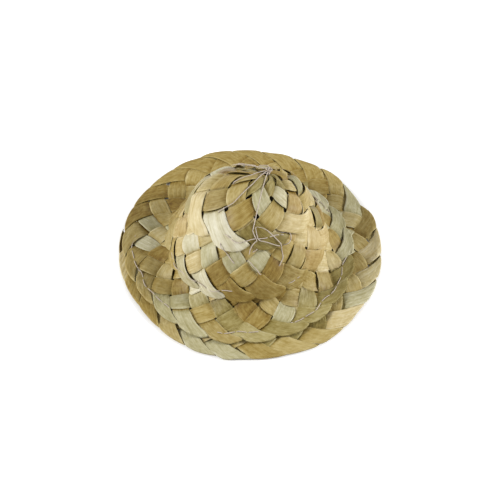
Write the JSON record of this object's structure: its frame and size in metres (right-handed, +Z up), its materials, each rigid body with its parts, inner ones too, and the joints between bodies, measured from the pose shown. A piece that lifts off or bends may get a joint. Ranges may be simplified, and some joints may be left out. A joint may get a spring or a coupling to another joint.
{
  "type": "conical straw sun hat",
  "caption": "Small brimmed sun hat with a blunt conical crown, plaited from flat leaf straw strips and sewn in a spiral from the tip to the rim with a pale thread.",
  "frame": {"origin": "centre of the brim at the level of the surface that the rim rests on", "axes": "+Z up along the crown towards its tip, -Y towards the side that the picture shows in front"},
  "size_m": [0.1004, 0.1005, 0.0403],
  "materials": {
    "straw_golden": "plaited dry leaf straw, satin, with a fine lengthwise grain",
    "straw_tan": "plaited dry leaf straw, satin, with a fine lengthwise grain",
    "straw_pale": "plaited dry leaf straw, satin, with a fine lengthwise grain",
    "straw_olive": "plaited dry leaf straw, satin, with a fine lengthwise grain",
    "thread_white": "matte twisted cotton thread"
  },
  "bodies": {
    "root": {"seam_thread": "thread_white", "strip_a1": "straw_golden", "strip_a2": "straw_tan", "strip_a3": "straw_pale", "strip_a4": "straw_olive", "strip_a5": "straw_golden", "strip_b1": "straw_pale", "strip_b2": "straw_olive", "strip_b3": "straw_golden", "strip_b4": "straw_tan", "strip_b5": "straw_pale", "strip_c1": "straw_golden", "strip_c2": "straw_tan", "strip_c3": "straw_pale", "strip_c4": "straw_olive", "strip_c5": "straw_golden", "strip_d1": "straw_pale", "strip_d2": "straw_olive", "strip_d3": "straw_golden", "strip_d4": "straw_tan", "strip_d5": "straw_pale", "strip_e1": "straw_golden", "strip_e2": "straw_tan", "strip_e3": "straw_pale", "strip_e4": "straw_olive", "strip_e5": "straw_golden"}
  },
  "joints": []
}
